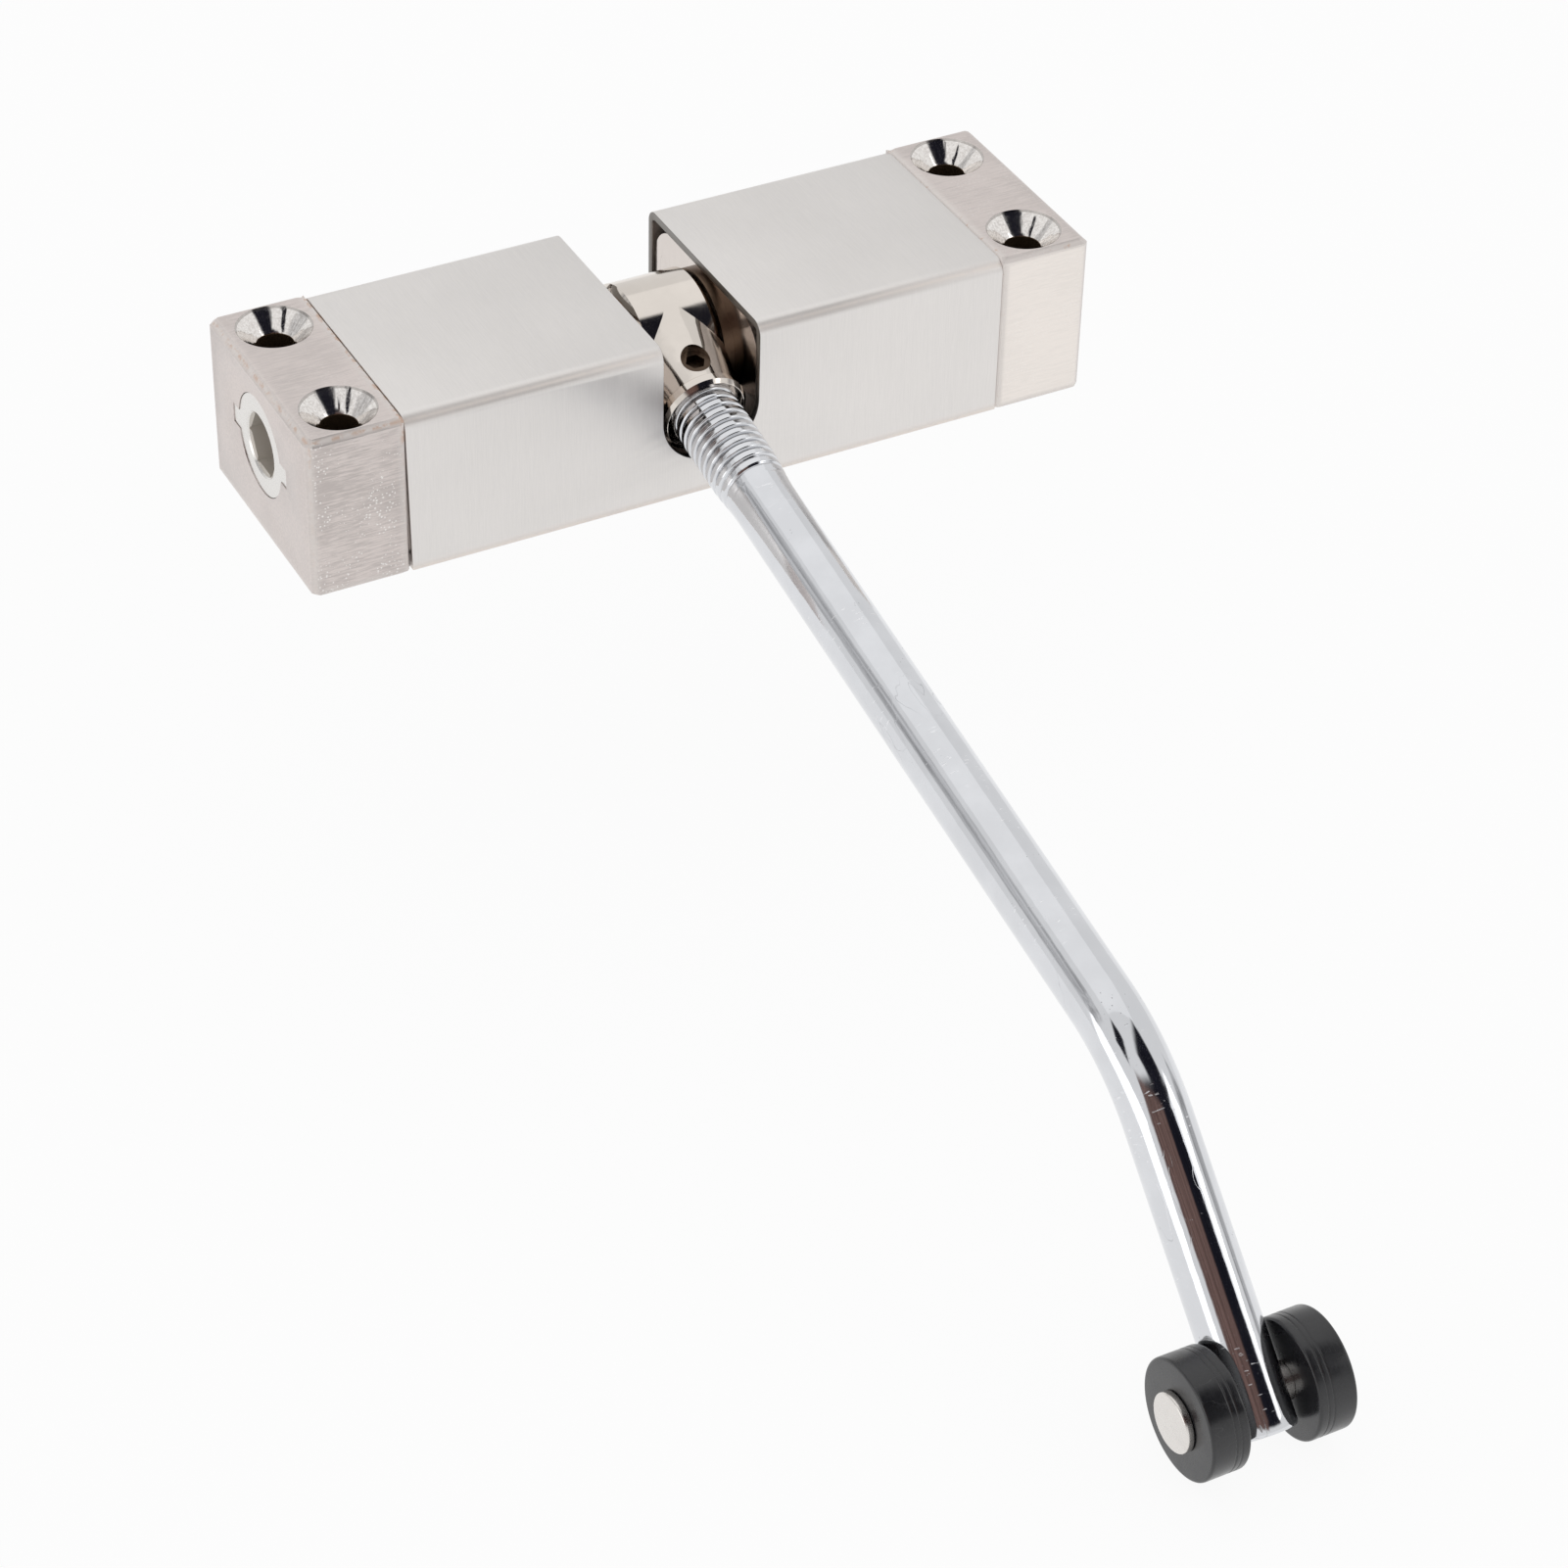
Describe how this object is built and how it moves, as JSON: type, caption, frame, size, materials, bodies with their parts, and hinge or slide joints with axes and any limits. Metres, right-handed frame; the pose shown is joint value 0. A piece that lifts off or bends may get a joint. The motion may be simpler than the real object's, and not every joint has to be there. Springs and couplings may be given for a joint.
{
  "type": "spring door closer",
  "caption": "Spring door closer: a sheet-covered body between drilled end blocks, with a slotted hub that swings a bent rod arm carrying rollers.",
  "frame": {"origin": "middle of the mounting face, on the surface the closer is screwed to", "axes": "+X along the body towards the right end block, -Y the side the arm leaves at rest, +Z away from the mounting face"},
  "size_m": [0.12, 0.1912, 0.0759],
  "materials": {
    "nickel_blocks": "brushed nickel plate",
    "steel_cover": "brushed bare steel",
    "zinc": "bright zinc plate",
    "dark_steel": "oiled bare steel",
    "bronze": "sintered bronze",
    "nickel_hub": "polished nickel plate",
    "chrome_rod": "bright chrome plate",
    "spring_steel": "oil-tempered spring wire",
    "nylon": "moulded charcoal nylon",
    "rivet": "satin nickel plate"
  },
  "bodies": {
    "closer_body": {"cover": "steel_cover", "base_plate": "dark_steel", "block_screws": "zinc", "plate_screws": "zinc", "end_block_left": "nickel_blocks", "end_block_right": "nickel_blocks", "bearing_plate_left": "dark_steel", "bearing_plate_right": "dark_steel", "bush_left": "bronze", "bush_right": "bronze", "torsion_spring_left": "spring_steel", "torsion_spring_right": "spring_steel"},
    "arm": {"arm_hub": "nickel_hub", "grub_screw": "dark_steel", "arm_rod": "chrome_rod", "roller_axle": "rivet"},
    "left_roller": {"roller_left": "nylon"},
    "right_roller": {"roller_right": "nylon"},
    "left_adjuster": {"tension_adjuster_left": "zinc"},
    "right_adjuster": {"tension_adjuster_right": "zinc"}
  },
  "joints": [
    {"name": "arm_swing", "type": "hinge", "parent": "closer_body", "child": "arm", "pos_m": [0, 0, 0.0143], "axis": [-1, 0, 0], "range_deg": [0, 202.2], "stiffness_Nm_per_rad": 1.8, "springref_deg": -34.38, "deforming": ["torsion_spring_left", "torsion_spring_right"]},
    {"name": "roller_left_spin", "type": "hinge", "parent": "arm", "child": "left_roller", "pos_m": [0, -0.16561, -0.0428], "axis": [1, 0, 0], "continuous": true},
    {"name": "roller_right_spin", "type": "hinge", "parent": "arm", "child": "right_roller", "pos_m": [0, -0.16561, -0.0428], "axis": [1, 0, 0], "continuous": true},
    {"name": "adjuster_left_push", "type": "slide", "parent": "closer_body", "child": "left_adjuster", "axis": [1, 0, 0], "range_m": [0, 0.0022], "stiffness_N_per_m": 10000, "springref_m": -0.001, "deforming": ["torsion_spring_left"]},
    {"name": "adjuster_right_push", "type": "slide", "parent": "closer_body", "child": "right_adjuster", "axis": [-1, 0, 0], "range_m": [0, 0.0022], "stiffness_N_per_m": 10000, "springref_m": -0.001, "deforming": ["torsion_spring_right"]}
  ]
}
